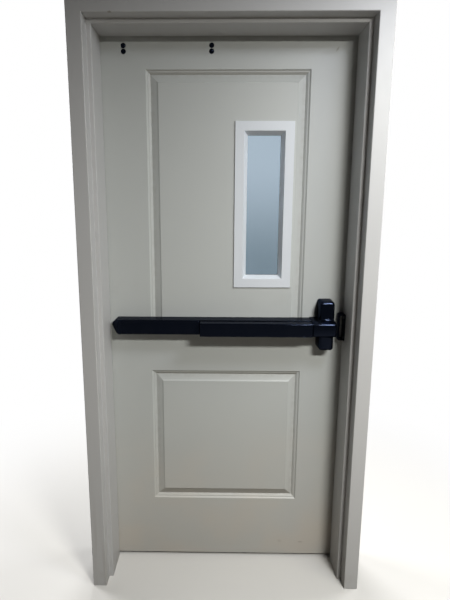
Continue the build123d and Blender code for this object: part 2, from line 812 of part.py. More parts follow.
def end_bracket():
    # Cast bracket that carries the hinge end of the rail
    half = rail_height / 2 - rail_wall - 1
    bracket = block(cap_left + cap_point + cap_wall + 1, rail_left + 30, push_y - bracket_thickness, push_y,
                    device_level - half, device_level + half)
    bracket -= block(rail_left, rail_left + 31, push_y - rail_wall, push_y + 1,
                     device_level - half - 1, device_level + half + 1)
    bracket += block(rail_left - 4, rail_left, push_y - 30, push_y - 4,
                     device_level - half, device_level + half)
    for x, z in device_bolt_places():
        bracket -= rod_y(x, push_y - bracket_thickness - 1, push_y + 1, z, bolt_radius + running)
    return bracket


def push_pad():
    # Hollow bar that slides in the rail's mouth, with a lug for each crank
    half = rail_height / 2 - rail_wall - touch_gap
    front, back = push_y - pad_projection, push_y - rail_depth + pad_lap
    pad = block(pad_left, pad_right, front, back, device_level - half, device_level + half)
    pad = fillet(pad.edges().filter_by(Axis.X).group_by(Axis.Y)[0], pad_edge)
    inner = half - pad_wall
    pad -= block(pad_left + pad_wall, pad_right - pad_wall, front + pad_wall, back + 1,
                 device_level - inner, device_level + inner)
    lug_end = push_y - crank_axis_depth - crank_roller - touch_gap
    for x in crank_places:
        roller_x = x + crank_arm
        pad += block(roller_x - 4, roller_x + 6, front + pad_wall - 1, lug_end,
                     device_level - crank_thickness, device_level + crank_thickness)
    return pad


def crank_body(x):
    # Bell crank: one arm is pressed by the pad, the other draws the rod
    y = push_y - crank_axis_depth
    low, high = device_level - crank_thickness / 2, device_level + crank_thickness / 2
    crank = link((x, y), (x + crank_arm, y), crank_hub, crank_tip, low, high)
    crank += link((x, y), (x, y + crank_arm), crank_hub, drive_pin_radius, low, high)
    crank += rod_z(x + crank_arm, y, low, high, crank_roller)
    crank += rod_z(x, y + crank_arm, low, high + rod_thickness + 1, drive_pin_radius)
    crank += rod_z(x, y, low - 4, high + 4, crank_hub)
    return crank - rod_z(x, y, low - 5, high + 5, crank_pin_radius + running)


def crank_pins():
    half = rail_height / 2 - rail_wall
    y = push_y - crank_axis_depth
    return group([rod_z(x, y, device_level - half, device_level + half, crank_pin_radius)
                  for x in crank_places])


def push_rod():
    # Flat rod from the cranks to the latch, slotted for the cranks' drive pins
    low = device_level + crank_thickness / 2 + touch_gap
    end = latch_reach - latch_length
    rod = block(crank_places[0] - 20, end, push_y - rod_front, push_y - rod_back, low, low + rod_thickness)
    slot = drive_pin_radius + drive_pin_clearance
    for x in crank_places:
        rod -= block(x - slot, x + slot, push_y - rod_front + 1.5, push_y - rod_back - 1.5,
                     low - 1, low + rod_thickness + 1)
    return rod


def head_plane(depth):
    return Plane(origin=(head_centre_x, push_y - depth, head_level), x_dir=(1, 0, 0), z_dir=(0, -1, 0))


def head_block(grow, depth):
    # The cover seen from the front, as a block that tapers over its depth
    width, height, corner = head_width + 2 * grow, head_height + 2 * grow, head_corner + grow
    lean = 2 * head_draft * depth / head_projection
    base = head_plane(0) * RectangleRounded(width, height, corner)
    front = head_plane(depth) * RectangleRounded(width - lean, height - lean, corner)
    return loft([base, front])


def band_line(grow):
    # Side view of the cover's deeper middle part, from its upper back corner to its lower
    high, low = rail_height / 2 + touch_gap + head_wall + grow, band_front_height / 2 + grow
    slope, front = band_slope + grow, band_projection + grow
    points = [(0, high), (-slope, high), (-front, low), (-front, -low), (-slope, -high), (0, -high)]
    return [(push_y + y, device_level + z) for y, z in points]


def tall_line(grow):
    # Side view of the whole cover, where the middle part crosses the tall one
    band = band_line(grow)
    half, front = head_height / 2 + grow, push_y - head_projection - grow
    over = [(push_y, head_level + half), (front, head_level + half), (front, band[0][1])]
    under = [(front, band[-1][1]), (front, head_level - half), (push_y, head_level - half)]
    return over + band[1:-1] + under


def head_cover():
    # Cast cover: a tall block crossed by a deeper band that takes in the rail's end
    left, right = pad_right + band_gap, head_centre_x + head_width / 2 + band_overhang
    inner_left, inner_right = left + head_wall, right - head_wall
    radii = [head_edge, band_blend] + 4 * [head_edge] + [band_blend, head_edge]
    tall_part = rounded_prism_x(tall_line(0), radii, head_centre_x - head_width, head_centre_x + head_width)
    cover = tall_part & head_block(0, band_projection + 1)
    cover += rounded_prism_x(band_line(0), 4 * [head_edge], left, right)
    hollow = prism_x(tall_line(-head_wall), head_centre_x - head_width, head_centre_x + head_width)
    cover -= hollow & head_block(-head_wall, band_projection)
    cover -= prism_x(band_line(-head_wall), inner_left, inner_right)
    half = rail_height / 2 + touch_gap
    cover -= block(left - 1, inner_left + 1, push_y - rail_depth - touch_gap, push_y + 1,
                   device_level - half, device_level + half)
    tall = latch_height / 2 + 1
    cover -= block(right - 12, right + 5, push_y - latch_front - 1, push_y - latch_back + 1,
                   latch_level - tall, latch_level + tall)
    return cover


def head_base():
    # Base plate with two ears that guide the latch bolt
    inset = head_wall + 0.5
    left = head_centre_x - head_width / 2
    outline = RectangleRounded(head_width - 2 * inset, head_height - 2 * inset, head_corner - inset)
    plate = extrude(head_plane(0) * outline, amount=head_plate)
    half = rail_height / 2 + 0.5
    plate -= block(left - 1, left + 9, push_y - head_plate - 1, push_y + 1,
                   device_level - half, device_level + half)
    inner = latch_height / 2 + 0.2
    for side in (-1, 1):
        z0, z1 = latch_level + side * inner, latch_level + side * (inner + 4)
        plate += block(left + 14, left + 14 + latch_guide, push_y - latch_front - 4, push_y - head_plate + 1,
                       min(z0, z1), max(z0, z1))
    for x, z in device_bolt_places():
        plate -= rod_y(x, push_y - head_plate - 1, push_y + 1, z, bolt_radius + running)
    return plate


def latch_bolt():
    # Bolt with a nose that is bevelled where it meets the strike
    y0, y1 = push_y - latch_front, push_y - latch_back
    x0, x1 = latch_reach - latch_length, latch_reach
    outline = [(x0, y0), (x1 - 9, y0), (x1 - 2, y0 + 10), (x1, y0 + 15),
               (x1, y1 - 3), (x1 - 3, y1), (x0, y1)]
    half = latch_height / 2
    return prism_z(outline, latch_level - half, latch_level + half)


def through_bolts(places, outer_y, head_height, away):
    # Barrel nuts on one face and the bolts that enter them from the other.
    # away is the direction in which the barrel nuts' heads stand out.
    nuts, bolts = [], []
    face = push_y if away < 0 else pull_y
    for x, z in places:
        barrel = rod_y(x, face, face - away * (door_thickness - 6), z, barrel_radius)
        cap = rod_y(x, face, face + away * barrel_head_height, z, barrel_head_radius)
        rim = cap.edges().group_by(Axis.Y)[0 if away < 0 else -1]
        nut = barrel + fillet(rim, 1.6)
        nut -= rod_y(x, face - away * 3, face - away * door_thickness, z, bolt_radius)
        nuts.append(nut)
        bolt = rod_y(x, face - away * 12, outer_y, z, bolt_radius)
        bolts.append(bolt + rod_y(x, outer_y, outer_y - away * head_height, z, 2 * bolt_radius))
    return nuts, bolts


def device_parts():
    head_places = device_bolt_places()
    head_nuts, head_bolts = through_bolts(head_places[:2], push_y - head_plate, 3, 1)
    end_nuts, end_bolts = through_bolts(head_places[2:], push_y - bracket_thickness, 3, 1)
    return {
        "device_rail": device_rail(),
        "device_rail_cover": rail_cover(),
        "device_end_cap": end_cap(),
        "device_end_bracket": end_bracket(),
        "device_push_pad": push_pad(),
        "device_crank_1": crank_body(crank_places[0]),
        "device_crank_2": crank_body(crank_places[1]),
        "device_crank_pins": crank_pins(),
        "device_push_rod": push_rod(),
        "device_head_base": head_base(),
        "device_head_cover": head_cover(),
        "device_latch_bolt": latch_bolt(),
        "device_barrel_nuts": group(head_nuts + end_nuts),
        "device_bolts": group(head_bolts + end_bolts),
    }


# Closer. The four arm pivots are the corners of a parallelogram, so the main arm
# stays parallel to the frame and the forearm turns with the door.

pinion_at = (pin_x + pinion_from_hinge, pull_y + pinion_depth)
shoe_at = (pin_x + shoe_from_hinge, pin_y + shoe_pin_offset)
elbow_at = (pinion_at[0] + shoe_from_hinge, pinion_at[1] + shoe_pin_offset)
main_arm_z = door_top + arm_above_door
forearm_z = main_arm_z + arm_thickness + arm_spacing
tongue_z = forearm_z + arm_thickness + touch_gap


def shoe_screw_places():
    z = tongue_z + shoe_height * 0.62
    return [(pin_x + shoe_from_hinge + side * 0.34 * shoe_width, z) for side in (-1, 1)]


def shoe_screw_holes():
    return [rod_y(x, back_y - 4, back_y + 1, z, bolt_radius) for x, z in shoe_screw_places()]


def closer_body():
    y0 = pull_y
    half = closer_length / 2 - closer_wall - 1.5
    tall = closer_base_height / 2
    base = block(closer_x - half, closer_x + half, y0, y0 + closer_base,
                 closer_level - tall, closer_level + tall)
    base = fillet(base.edges().filter_by(Axis.Y), 6)
    axis_y = y0 + pinion_depth
    reach = closer_barrel_length / 2
    web = 0.75 * closer_barrel_radius
    body = base + rod_x(closer_x - reach, closer_x + reach, axis_y, closer_level, closer_barrel_radius)
    body += block(closer_x - reach, closer_x + reach, y0 + closer_base / 2, axis_y,
                  closer_level - web, closer_level + web)
    low, high = closer_level - pinion_housing / 2, closer_level + pinion_housing / 2
    body += rod_z(*pinion_at, low, high, pinion_boss)
    body -= rod_z(*pinion_at, low + pinion_floor, high + 1, pinion_radius + running)
    for side in (-1, 1):
        plug_x = closer_x + side * reach
        body += rod_x(plug_x, plug_x + side * 6, axis_y, closer_level, 17)
    for x, z in closer_bolt_places():
        body -= rod_y(x, y0 - 1, y0 + closer_base + 1, z, bolt_radius + running)
    return body


def closer_cover():
    y1 = pull_y + closer_projection
    half_l, half_h = closer_length / 2, closer_height / 2
    outer = block(closer_x - half_l, closer_x + half_l, pull_y, y1,
                  closer_level - half_h, closer_level + half_h)
    outer = fillet(outer.edges().filter_by(Axis.Y), 7)
    outer = fillet(outer.faces().sort_by(Axis.Y)[-1].edges(), 5)
    w = closer_wall
    inner = block(closer_x - half_l + w, closer_x + half_l - w, pull_y - 1, y1 - w,
                  closer_level - half_h + w, closer_level + half_h - w)
    inner = fillet(inner.edges().filter_by(Axis.Y), 5)
    cover = outer - inner
    return cover - rod_z(*pinion_at, closer_level, closer_level + half_h + 1, 12)


def closer_pinion():
    low = closer_level - pinion_housing / 2 + pinion_floor + touch_gap
    shaft = rod_z(*pinion_at, low, main_arm_z, pinion_radius)
    half = pinion_square / 2 - running
    x, y = pinion_at
    shaft += block(x - half, x + half, y - half, y + half, main_arm_z - 1, main_arm_z + arm_thickness)
    shaft &= rod_z(x, y, low - 1, main_arm_z + arm_thickness, pinion_radius)
    return shaft


def main_arm():
    z0, z1 = main_arm_z, main_arm_z + arm_thickness
    arm = link(pinion_at, elbow_at, arm_end_radius + 3, arm_end_radius, z0, z1)
    half = pinion_square / 2
    x, y = pinion_at
    arm -= block(x - half, x + half, y - half, y + half, z0 - 1, z1 + 1)
    arm += rod_z(*elbow_at, z1, forearm_z - touch_gap, arm_end_radius - 2)
    arm += rod_z(*elbow_at, z1, forearm_z + arm_thickness + touch_gap, stud_radius)
    cap = rod_z(*elbow_at, forearm_z + arm_thickness + touch_gap, forearm_z + arm_thickness + 4,
                stud_radius + 3)
    return arm + fillet(cap.edges().group_by(Axis.Z)[-1], 1.5)


def forearm():
    z0, z1 = forearm_z, forearm_z + arm_thickness
    arm = link(elbow_at, shoe_at, arm_end_radius, arm_end_radius, z0, z1)
    for place in (elbow_at, shoe_at):
        arm -= rod_z(*place, z0 - 1, z1 + 1, stud_radius + running)
    return arm


def frame_shoe():
    x, y = shoe_at
    half = shoe_width / 2
    plate = block(x - half, x + half, back_y, back_y + shoe_plate, tongue_z, tongue_z + shoe_height)
    plate = fillet(plate.edges().filter_by(Axis.Y), 5)
    wide = shoe_tongue / 2
    tongue = block(x - wide, x + wide, back_y + 1, y, tongue_z, tongue_z + arm_thickness)
    tongue += rod_z(x, y, tongue_z, tongue_z + arm_thickness, wide)
    shoe = plate + tongue
    shoe += rod_z(x, y, forearm_z - touch_gap, tongue_z + 1, stud_radius)
    shoe += rod_z(x, y, forearm_z - 3, forearm_z - touch_gap, stud_radius + 3)
    return shoe - [rod_y(sx, back_y - 1, back_y + shoe_plate + 1, sz, bolt_radius + running)
                   for sx, sz in shoe_screw_places()]


def closer_parts():
    nuts, bolts = through_bolts(closer_bolt_places(), pull_y + closer_base, 4, -1)
    screws = []
    for x, z in shoe_screw_places():
        screw = rod_y(x, back_y - frame_sheet - strike_backing, back_y + shoe_plate, z, bolt_radius)
        head_disc = rod_y(x, back_y + shoe_plate, back_y + shoe_plate + 3, z, 2 * bolt_radius)
        screws.append(screw + head_disc)
    x, y = pinion_at
    top = main_arm_z + arm_thickness
    arm_screw = rod_z(x, y, top, top + 4, pinion_radius + 1)
    return {
        "closer_body": closer_body(),
        "closer_cover": closer_cover(),
        "closer_pinion": closer_pinion(),
        "closer_main_arm": main_arm(),
        "closer_arm_screw": fillet(arm_screw.edges().group_by(Axis.Z)[-1], 1.5),
        "closer_forearm": forearm(),
        "closer_frame_shoe": frame_shoe(),
        "closer_shoe_screws": group(screws),
        "closer_barrel_nuts": group(nuts),
        "closer_bolts": group(bolts),
    }


nodes = {}
for sub_assembly in (frame_parts, strike_parts, door_parts, lite_parts, hinge_parts,
                     device_parts, closer_parts):
    nodes.update(sub_assembly())

for name, shape in nodes.items():
    export_step(shape, f"parts/{name}.step")
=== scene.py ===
import json
import math

import bpy
from mathutils import Matrix, Vector


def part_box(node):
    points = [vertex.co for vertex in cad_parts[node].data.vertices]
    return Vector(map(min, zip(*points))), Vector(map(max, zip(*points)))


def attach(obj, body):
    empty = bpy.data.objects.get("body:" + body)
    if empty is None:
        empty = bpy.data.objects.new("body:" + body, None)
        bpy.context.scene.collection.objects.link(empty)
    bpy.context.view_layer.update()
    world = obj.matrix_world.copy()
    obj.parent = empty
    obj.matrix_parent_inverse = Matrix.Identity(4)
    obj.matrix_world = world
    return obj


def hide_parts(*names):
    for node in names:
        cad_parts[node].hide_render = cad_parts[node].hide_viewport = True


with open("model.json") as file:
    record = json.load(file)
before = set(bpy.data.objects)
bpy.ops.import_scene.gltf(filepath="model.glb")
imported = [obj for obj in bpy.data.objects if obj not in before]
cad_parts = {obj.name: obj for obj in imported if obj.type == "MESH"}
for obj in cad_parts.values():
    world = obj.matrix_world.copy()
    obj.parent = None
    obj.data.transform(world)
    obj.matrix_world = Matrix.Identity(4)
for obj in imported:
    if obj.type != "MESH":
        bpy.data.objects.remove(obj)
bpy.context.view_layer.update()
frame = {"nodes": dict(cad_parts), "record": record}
nodes = frame["nodes"]
print("frame loaded,", len(nodes), "nodes")

# places read from the frame, in metres
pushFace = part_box("door_push_skin")[0].y
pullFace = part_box("door_pull_skin")[1].y
middleFace = (pushFace + pullFace) / 2
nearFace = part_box("frame_head")[0].y
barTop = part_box("device_rail")[1].z
mm = 0.001


# shader maths written as expressions

class Signal:
    # wraps a node's output, so that an expression on it adds the Math nodes it needs
    def __init__(self, shading, socket):
        self.shading, self.socket = shading, socket

    def maths(self, operation, *values, clamp=False):
        settings = {"operation": operation, "use_clamp": clamp}
        return self.shading.node("ShaderNodeMath", settings, dict(enumerate(values)))

    def __add__(self, other):
        return self.maths("ADD", self, other)

    def __sub__(self, other):
        return self.maths("SUBTRACT", self, other)

    def __rsub__(self, other):
        return self.maths("SUBTRACT", other, self)

    def __mul__(self, other):
        return self.maths("MULTIPLY", self, other)

    def __pow__(self, other):
        return self.maths("POWER", self, other)

    def __rpow__(self, other):
        return self.maths("POWER", other, self)

    __radd__ = __add__
    __rmul__ = __mul__

    def clamped(self):
        return self.maths("ADD", self, 0.0, clamp=True)

    def size(self):
        return self.maths("ABSOLUTE", self)

    def most(self, other):
        return self.maths("MAXIMUM", self, other)


class Shading:
    # the nodes of a material or of the world
    def __init__(self, owner):
        owner.use_nodes = True
        self.owner, self.tree = owner, owner.node_tree
        self.tree.nodes.clear()

    def plug(self, value, slot):
        if isinstance(value, Signal):
            self.tree.links.new(value.socket, slot)
        elif slot.type == "RGBA":
            slot.default_value = (*value, 1.0)
        else:
            slot.default_value = value

    def node(self, kind, settings, values, *outputs):
        # its settings are set first, then each socket's value or link; several outputs come back as a list
        made = self.tree.nodes.new(kind)
        for key, value in settings.items():
            setattr(made, key, value)
        for key, value in values.items():
            self.plug(value, made.inputs[key])
        signals = [Signal(self, made.outputs[output]) for output in outputs or (0,) if made.outputs]
        return signals[0] if len(signals) == 1 else signals

    def shownRays(self, mirrored):
        # 1 where the camera looks straight or through glass at the background, less where it is mirrored
        direct, through, glossy = self.node(
            "ShaderNodeLightPath", {}, {}, "Is Camera Ray", "Is Transmission Ray", "Is Glossy Ray")
        return direct.most(through).most(glossy * mirrored)


class Finish(Shading):
    # a material; its patterns read the piece's own coordinates
    def __init__(self, name):
        super().__init__(bpy.data.materials.new(name))
        self.place = self.node("ShaderNodeTexCoord", {}, {}, "Object")
        self.x, self.y, self.z = self.parts(self.place)

    def parts(self, vector):
        return self.node("ShaderNodeSeparateXYZ", {}, {"Vector": vector}, "X", "Y", "Z")

    def stretched(self, scale):
        return self.node("ShaderNodeMapping", {}, {"Vector": self.place, "Scale": scale})

    def noise(self, scale, detail, where=None, roughness=0.5):
        return self.node("ShaderNodeTexNoise", {}, {
            "Vector": where or self.place, "Scale": scale, "Detail": detail, "Roughness": roughness})

    def step(self, value, low, high):
        return self.node("ShaderNodeMapRange", {"clamp": True, "interpolation_type": "SMOOTHSTEP"}, {
            "Value": value, "From Min": low, "From Max": high, "To Min": 0.0, "To Max": 1.0})

    def mix(self, amount, first, second):
        # two colours; the sockets are the node's factor and its pair for colours
        return self.node("ShaderNodeMix", {"data_type": "RGBA"}, {0: amount, 6: first, 7: second}, 2)

    def facing(self, low, high):
        # 1 on faces that look up, and with both numbers below 0, on those that look down
        normal = self.node("ShaderNodeNewGeometry", {}, {}, "Normal")
        return self.step(self.parts(normal)[2], low, high)

    def smudge(self, mark, grain):
        # a small worn or dirty patch on a face that looks along Y, fading out from its middle
        turn = math.radians(mark["turn"])
        right, up = math.cos(turn), math.sin(turn)
        acrossX, acrossZ = self.x - mark["at"][0], self.z - mark["at"][1]
        along = (acrossX * right + acrossZ * up) * (2.0 / mark["length"])
        across = (acrossZ * right - acrossX * up) * (2.0 / mark["width"])
        ragged = self.noise(grain["scale"], 3.0) * grain["amount"]
        return 1.0 - self.step((along * along + across * across) ** 0.5 + ragged, *mark["fade"])

    def bump(self, height, distance, strength, **more):
        values = {"Height": height, "Distance": distance, "Strength": strength}
        return self.node("ShaderNodeBump", {}, {**values, **more})

    def close(self, **values):
        named = {key.replace("_", " "): value for key, value in values.items()}
        shader = self.node("ShaderNodeBsdfPrincipled", {}, named)
        self.node("ShaderNodeOutputMaterial", {}, {"Surface": shader})
        return self.owner


def darker(colour, share):
    return [part * share for part in colour]


# enamel on the frame and the door, in metres; "between" is where a noise starts to show and where it is full

smudgeGrain = {"scale": 300.0, "amount": 0.8}  # how ragged the edges of nicks and scuffs are
frameLook = {
    "paint": (0.520, 0.520, 0.520), "dirtAndShadeColour": (0.27, 0.235, 0.19), "rough": 0.44, "sheen": 0.112,
    "mottle": {"scale": 2.6, "between": (0.35, 0.75), "amount": 0.14, "dark": 0.80},
    "runs": {
        "stretch": (75.0, 60.0, 3.0), "between": (0.47, 0.74), "reach": 0.62, "across": (-0.455, -0.435),
        "amount": 0.24},
    "foot": {"reach": 0.10, "scale": 24.0, "between": (0.42, 0.70), "amount": 0.22},
    "nicks": [{
        "at": (-0.3705, 2.0315), "length": 0.012, "width": 0.006, "turn": 8.0, "fade": (1.12, 1.62),
        "amount": 0.75}],
    "nickDepth": (0.004, 0.012),  # behind the frame's near face
}
doorLook = {
    "paint": (0.500, 0.518, 0.505), "dirtAndShadeColour": (0.23, 0.20, 0.16), "rough": 0.47, "sheen": 0.096,
    "mottle": {"scale": 2.2, "between": (0.35, 0.75), "amount": 0.12, "dark": 0.80},
    # a painted warm bounce from the floor, mixed with patchy dirt, low on the door
    "warmBounceAndDirt": {
        "paint": (0.575, 0.530, 0.468), "height": (0.05, 0.75), "scale": 5.0, "between": (0.30, 0.75),
        "patchy": 0.6, "amount": 0.85},
    # painted shade in the grooves round the panels and on their walls that look down
    "grooveShade": {"depth": (0.0045, 0.0090), "scale": 45.0, "between": (0.20, 0.90), "amount": 0.20},
    "ledgeShade": {"depth": (0.0008, 0.0020), "facing": (-0.05, -0.35), "amount": 0.42},
    "touched": {
        "above": 0.06, "reach": (0.02, 0.12), "scale": 14.0, "between": (0.5, 0.8), "amount": 0.07},
    "push": 0.01,  # the scuffs fade out over this depth before the door's middle
    "scuffs": [
        {"at": (0.374, 1.975), "length": 0.017, "width": 0.006, "turn": 55.0, "amount": 0.55},
        {"at": (0.349, 1.966), "length": 0.060, "width": 0.016, "turn": 8.0, "amount": 0.10},
        {"at": (0.316, 0.066), "length": 0.020, "width": 0.007, "turn": 3.0, "amount": 0.34},
        {"at": (0.229, 0.070), "length": 0.013, "width": 0.018, "turn": 70.0, "amount": 0.16},
    ],
    "scuffFade": (0.7, 1.9),  # in half lengths of the scuff
}
rollerLook = {
    "naps": [(520.0, 2.0, 0.6), (140.0, 2.0, 0.5), (9.0, 1.0, 2.2)],  # each one's scale, detail and share
    "height": 0.00024, "strength": 0.32, "cloud": 30.0, "dull": 0.3,
}


def mottled(f, look):
    # the paint with slow changes of tone
    mottle = look["mottle"]
    tone = f.step(f.noise(mottle["scale"], 3.0), *mottle["between"])
    return f.mix(tone * mottle["amount"], look["paint"], darker(look["paint"], mottle["dark"]))


def rolledPaint(f, look, shade, dirtAndShade):
    # satin enamel: a faint roller texture, and a sheen that varies a little and is duller where dirt or the
    # door's painted shade darkens it
    cloud = f.noise(rollerLook["cloud"], 4.0, roughness=0.6)
    roller = sum(f.noise(scale, detail) * share for scale, detail, share in rollerLook["naps"])
    rough = (look["rough"] + (cloud - 0.5) * look["sheen"] + dirtAndShade * rollerLook["dull"]).clamped()
    return f.close(
        Base_Color=f.mix(dirtAndShade, shade, look["dirtAndShadeColour"]), Roughness=rough, IOR=1.5,
        Normal=f.bump(roller, rollerLook["height"], rollerLook["strength"]))


def framePaint(look):
    f = Finish("framePaint")
    # dried runs at the foot of the left jamb
    runs = look["runs"]
    drips = f.step(f.noise(1.0, 4.0, f.stretched(runs["stretch"])), *runs["between"])
    low = (1.0 - f.step(f.z, 0.0, runs["reach"])) * (1.0 - f.step(f.x, *runs["across"]))
    dirtAndShade = drips * low * runs["amount"]
    shallow, deep = (nearFace + depth for depth in look["nickDepth"])
    for nick in look["nicks"]:
        near = 1.0 - f.step(f.y, shallow, deep)
        dirtAndShade = dirtAndShade.most(f.smudge(nick, smudgeGrain) * near * nick["amount"])
    foot = look["foot"]
    patches = f.step(f.noise(foot["scale"], 4.0), *foot["between"])
    dirtAndShade = dirtAndShade.most((1.0 - f.step(f.z, 0.0, foot["reach"])) * patches * foot["amount"])
    return rolledPaint(f, look, mottled(f, look), dirtAndShade)


def deeperThan(f, depths):
    # 1 below both faces of the door, where the panels' pressed edges are
    return f.step(f.y - pushFace, *depths) * f.step(pullFace - f.y, *depths)


def doorPaint(look):
    f = Finish("doorPaint")
    # warmer towards the floor: partly patchy dirt, partly a painted warm bounce from the floor
    warmBounceAndDirt = look["warmBounceAndDirt"]
    patches = f.step(f.noise(warmBounceAndDirt["scale"], 2.0), *warmBounceAndDirt["between"])
    low = (1.0 - f.step(f.z, *warmBounceAndDirt["height"])) * (patches * warmBounceAndDirt["patchy"] + (1.0 - warmBounceAndDirt["patchy"]))
    shade = f.mix(low * warmBounceAndDirt["amount"], mottled(f, look), warmBounceAndDirt["paint"])
    # painted shade: the paint is darkened towards the dark colour in the grooves round the panels, and more
    # on their walls that look down
    grooveShade, ledgeShade = look["grooveShade"], look["ledgeShade"]
    grooveShadeNoise = f.step(f.noise(grooveShade["scale"], 3.0), *grooveShade["between"])
    dirtAndShade = deeperThan(f, grooveShade["depth"]) * grooveShadeNoise * grooveShade["amount"]
    dirtAndShade = dirtAndShade.most(f.facing(*ledgeShade["facing"]) * deeperThan(f, ledgeShade["depth"]) * ledgeShade["amount"])
    onPush = 1.0 - f.step(f.y, middleFace - look["push"], middleFace)
    for scuff in look["scuffs"]:
        patch = f.smudge({**scuff, "fade": look["scuffFade"]}, smudgeGrain)
        dirtAndShade = dirtAndShade.most(patch * onPush * scuff["amount"])
    # touching leaves a faint duller cloud above the bar
    touched = look["touched"]
    height = (f.z - barTop - touched["above"]).size()
    cloud = f.step(f.noise(touched["scale"], 4.0), *touched["between"])
    dirtAndShade = dirtAndShade.most((1.0 - f.step(height, *touched["reach"])) * cloud * touched["amount"])
    return rolledPaint(f, look, shade, dirtAndShade)


# factory enamel on the window's frame, cooler and smoother than the rolled door

liteLook = {
    "paint": (0.68, 0.715, 0.76), "rough": 0.40, "sheen": 0.12,
    "mottle": {"scale": 12.0, "between": (0.4, 0.8), "amount": 0.10, "dark": 0.85},
    "cloud": 60.0, "peel": {"scale": 420.0, "height": 0.00012, "strength": 0.3},
}


def litePaint(look):
    f = Finish("litePaint")
    rough = (look["rough"] + (f.noise(look["cloud"], 3.0) - 0.5) * look["sheen"]).clamped()
    peel = look["peel"]
    normal = f.bump(f.noise(peel["scale"], 2.0), peel["height"], peel["strength"])
    return f.close(Base_Color=mottled(f, look), Roughness=rough, Normal=normal, IOR=1.5)


# blackened metal of the bar, its latch head and the strike

coatLook = {
    "base": (0.0125, 0.0170, 0.0310), "edge": (0.42, 0.43, 0.46),  # straight on, and at a flat angle
    "metal": 0.90, "specular": 0.22, "rough": 0.10, "rounding": 0.005,
    "grain": {"stretch": (16.0, 900.0, 900.0), "rough": 0.12, "height": 0.00003, "strength": 0.25},
    "cloud": {"scale": 20.0, "start": 0.45, "amount": 0.05, "rough": 0.10},
    # a lighter, rougher tone on the faces that look up
    "upTone": {
        "colour": (0.20, 0.20, 0.21), "facing": (0.55, 0.95), "scale": 60.0, "patchy": 0.8, "even": 0.3,
        "amount": 0.02, "rough": 0.2},
}


def darkCoating(look):
    f = Finish("darkCoating")
    grainy, cloudy, upToneLook = look["grain"], look["cloud"], look["upTone"]
    # a fine grain along the bar, and a lighter, rougher tone on the faces that look up
    grain = f.noise(1.0, 3.0, f.stretched(grainy["stretch"]))
    cloud = f.noise(cloudy["scale"], 3.0)
    layer = (f.noise(upToneLook["scale"], 4.0, roughness=0.7) * upToneLook["patchy"] + upToneLook["even"]).clamped()
    upTone = f.facing(*upToneLook["facing"]) * layer
    veil = upTone * upToneLook["amount"] + (cloud - cloudy["start"]).clamped() * cloudy["amount"]
    uneven = (grain - 0.5) * grainy["rough"] + (cloud - 0.5) * cloudy["rough"] + upTone * upToneLook["rough"]
    # the coating rounds every edge a little more than the bare metal
    softened = f.node("ShaderNodeBevel", {"samples": 6}, {"Radius": look["rounding"]})
    return f.close(
        Base_Color=f.mix(veil, look["base"], upToneLook["colour"]), Roughness=(look["rough"] + uneven).clamped(),
        Metallic=look["metal"], Specular_Tint=look["edge"], Specular_IOR_Level=look["specular"], IOR=1.5,
        Normal=f.bump(grain, grainy["height"], grainy["strength"], Normal=softened))


# bare and primed metals

platedLook = {
    "base": (0.56, 0.55, 0.53), "rough": 0.36,
    "tarnish": {"scale": 30.0, "between": (0.45, 0.75), "amount": 0.5, "dark": 0.72, "rough": 0.15},
    "brushed": {"stretch": (900.0, 900.0, 30.0), "rough": 0.25, "height": 0.00003, "strength": 0.3},
}
primedLook = {
    "shades": ((0.20, 0.21, 0.22), (0.27, 0.275, 0.28)), "scale": 11.0, "rough": 0.62,
    "rust": {
        "colour": (0.21, 0.09, 0.04), "scale": 60.0, "between": (0.60, 0.72), "within": (0.48, 0.62),
        "amount": 0.6, "rough": 0.2},
    "pores": {"scale": 260.0, "height": 0.0002, "strength": 0.5},
}
castLook = {
    "shades": ((0.045, 0.045, 0.047), (0.075, 0.073, 0.07)), "scale": 18.0, "rough": 0.55,
    "pits": {"scale": 330.0, "rough": 0.3, "height": 0.0006, "strength": 0.6},
}


def platedSteel(look):
    f = Finish("platedSteel")
    brushed, tarnish = look["brushed"], look["tarnish"]
    lines = f.noise(1.0, 4.0, f.stretched(brushed["stretch"]))
    cloud = f.noise(tarnish["scale"], 3.0)
    dull = f.step(cloud, *tarnish["between"]) * tarnish["amount"]
    rough = (look["rough"] + (lines - 0.5) * brushed["rough"] + (cloud - 0.5) * tarnish["rough"]).clamped()
    return f.close(
        Base_Color=f.mix(dull, look["base"], darker(look["base"], tarnish["dark"])), Roughness=rough,
        Metallic=1.0, Normal=f.bump(lines, brushed["height"], brushed["strength"]))


def primedSteel(look):
    f = Finish("primedSteel")
    rusty, pores = look["rust"], look["pores"]
    cloud = f.noise(look["scale"], 4.0)
    specks = f.step(f.noise(rusty["scale"], 4.0, roughness=0.65), *rusty["between"])
    rust = specks * f.step(cloud, *rusty["within"])
    return f.close(
        Base_Color=f.mix(rust * rusty["amount"], f.mix(cloud, *look["shades"]), rusty["colour"]),
        Roughness=look["rough"] + rust * rusty["rough"],
        Normal=f.bump(f.noise(pores["scale"], 3.0), pores["height"], pores["strength"]))


def castIron(look):
    f = Finish("castIron")
    pitted = look["pits"]
    pits = f.noise(pitted["scale"], 4.0, roughness=0.65)
    return f.close(
        Base_Color=f.mix(f.noise(look["scale"], 3.0), *look["shades"]),
        Roughness=look["rough"] + (pits - 0.5) * pitted["rough"],
        Normal=f.bump(pits, pitted["height"], pitted["strength"]))


# tapes, silencers, the door's core and its glass

